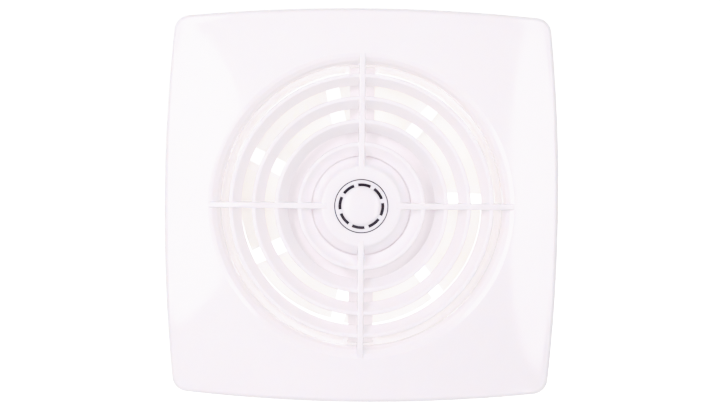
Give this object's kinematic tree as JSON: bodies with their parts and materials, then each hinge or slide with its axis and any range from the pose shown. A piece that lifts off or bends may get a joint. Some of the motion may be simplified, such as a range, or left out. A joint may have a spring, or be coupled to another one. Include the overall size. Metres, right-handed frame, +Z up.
{
  "type": "bathroom extractor fan",
  "caption": "Square wall extractor fan: domed cover with a round louvred grille and capped hub, axial impeller and motor pod in a round duct spigot.",
  "frame": {"origin": "on the fan axis, in the plane of the wall behind the housing", "axes": "+Y along the fan axis into the duct, +Z up, +X to the right as seen from the room"},
  "size_m": [0.177, 0.0811, 0.177],
  "materials": {
    "shell": "smooth near-white moulding, satin gloss",
    "motor_shell": "off-white moulding, fine texture",
    "blade": "cream translucent-looking moulding",
    "steel": "zinc-plated screw steel",
    "shaft": "ground shaft steel",
    "lamination": "stacked electrical steel",
    "bobbin": "natural nylon",
    "copper": "enamelled copper wire",
    "zamak": "die-cast bracket",
    "bronze": "oil-soaked sintered bronze",
    "fibre": "dark fibre washer",
    "fuse": "ceramic-coloured fuse body",
    "lead": "blue lead insulation",
    "terminal": "ivory polyamide",
    "brass": "turned brass",
    "grommet": "soft black rubber"
  },
  "bodies": {
    "housing": {"rear_housing": "shell", "motor_bridge": "motor_shell", "bridge_screws": "steel", "pod_cover": "motor_shell", "pod_cover_screws": "steel", "stator_core": "lamination", "coil_bobbin": "bobbin", "coil_winding": "copper", "shading_rings": "copper", "thermal_fuse": "fuse", "front_bracket": "zamak", "rear_bracket": "zamak", "front_bearing": "bronze", "rear_bearing": "bronze", "motor_screws": "steel", "motor_leads": "lead", "terminal_block": "terminal", "terminal_clamps": "brass", "terminal_screws": "steel", "terminal_fixing_screw": "steel", "cable_clamp": "terminal", "cable_clamp_screws": "steel", "cable_grommet": "grommet"},
    "rotor": {"rotor_core": "lamination", "rotor_shaft": "shaft", "thrust_washers": "fibre", "impeller": "blade", "impeller_nut": "brass"},
    "cover": {"front_cover": "shell", "cover_screw": "steel"},
    "cap": {"centre_cap": "shell"}
  },
  "joints": [
    {"name": "impeller_spin", "type": "hinge", "parent": "housing", "child": "rotor", "pos_m": [0, 0, 0], "axis": [0, 1, 0], "continuous": true},
    {"name": "cover_pull", "type": "slide", "parent": "housing", "child": "cover", "axis": [0, -1, 0], "range_m": [0, 0.06]},
    {"name": "cap_pull", "type": "slide", "parent": "cover", "child": "cap", "axis": [0, -1, 0], "range_m": [0, 0.02]}
  ]
}
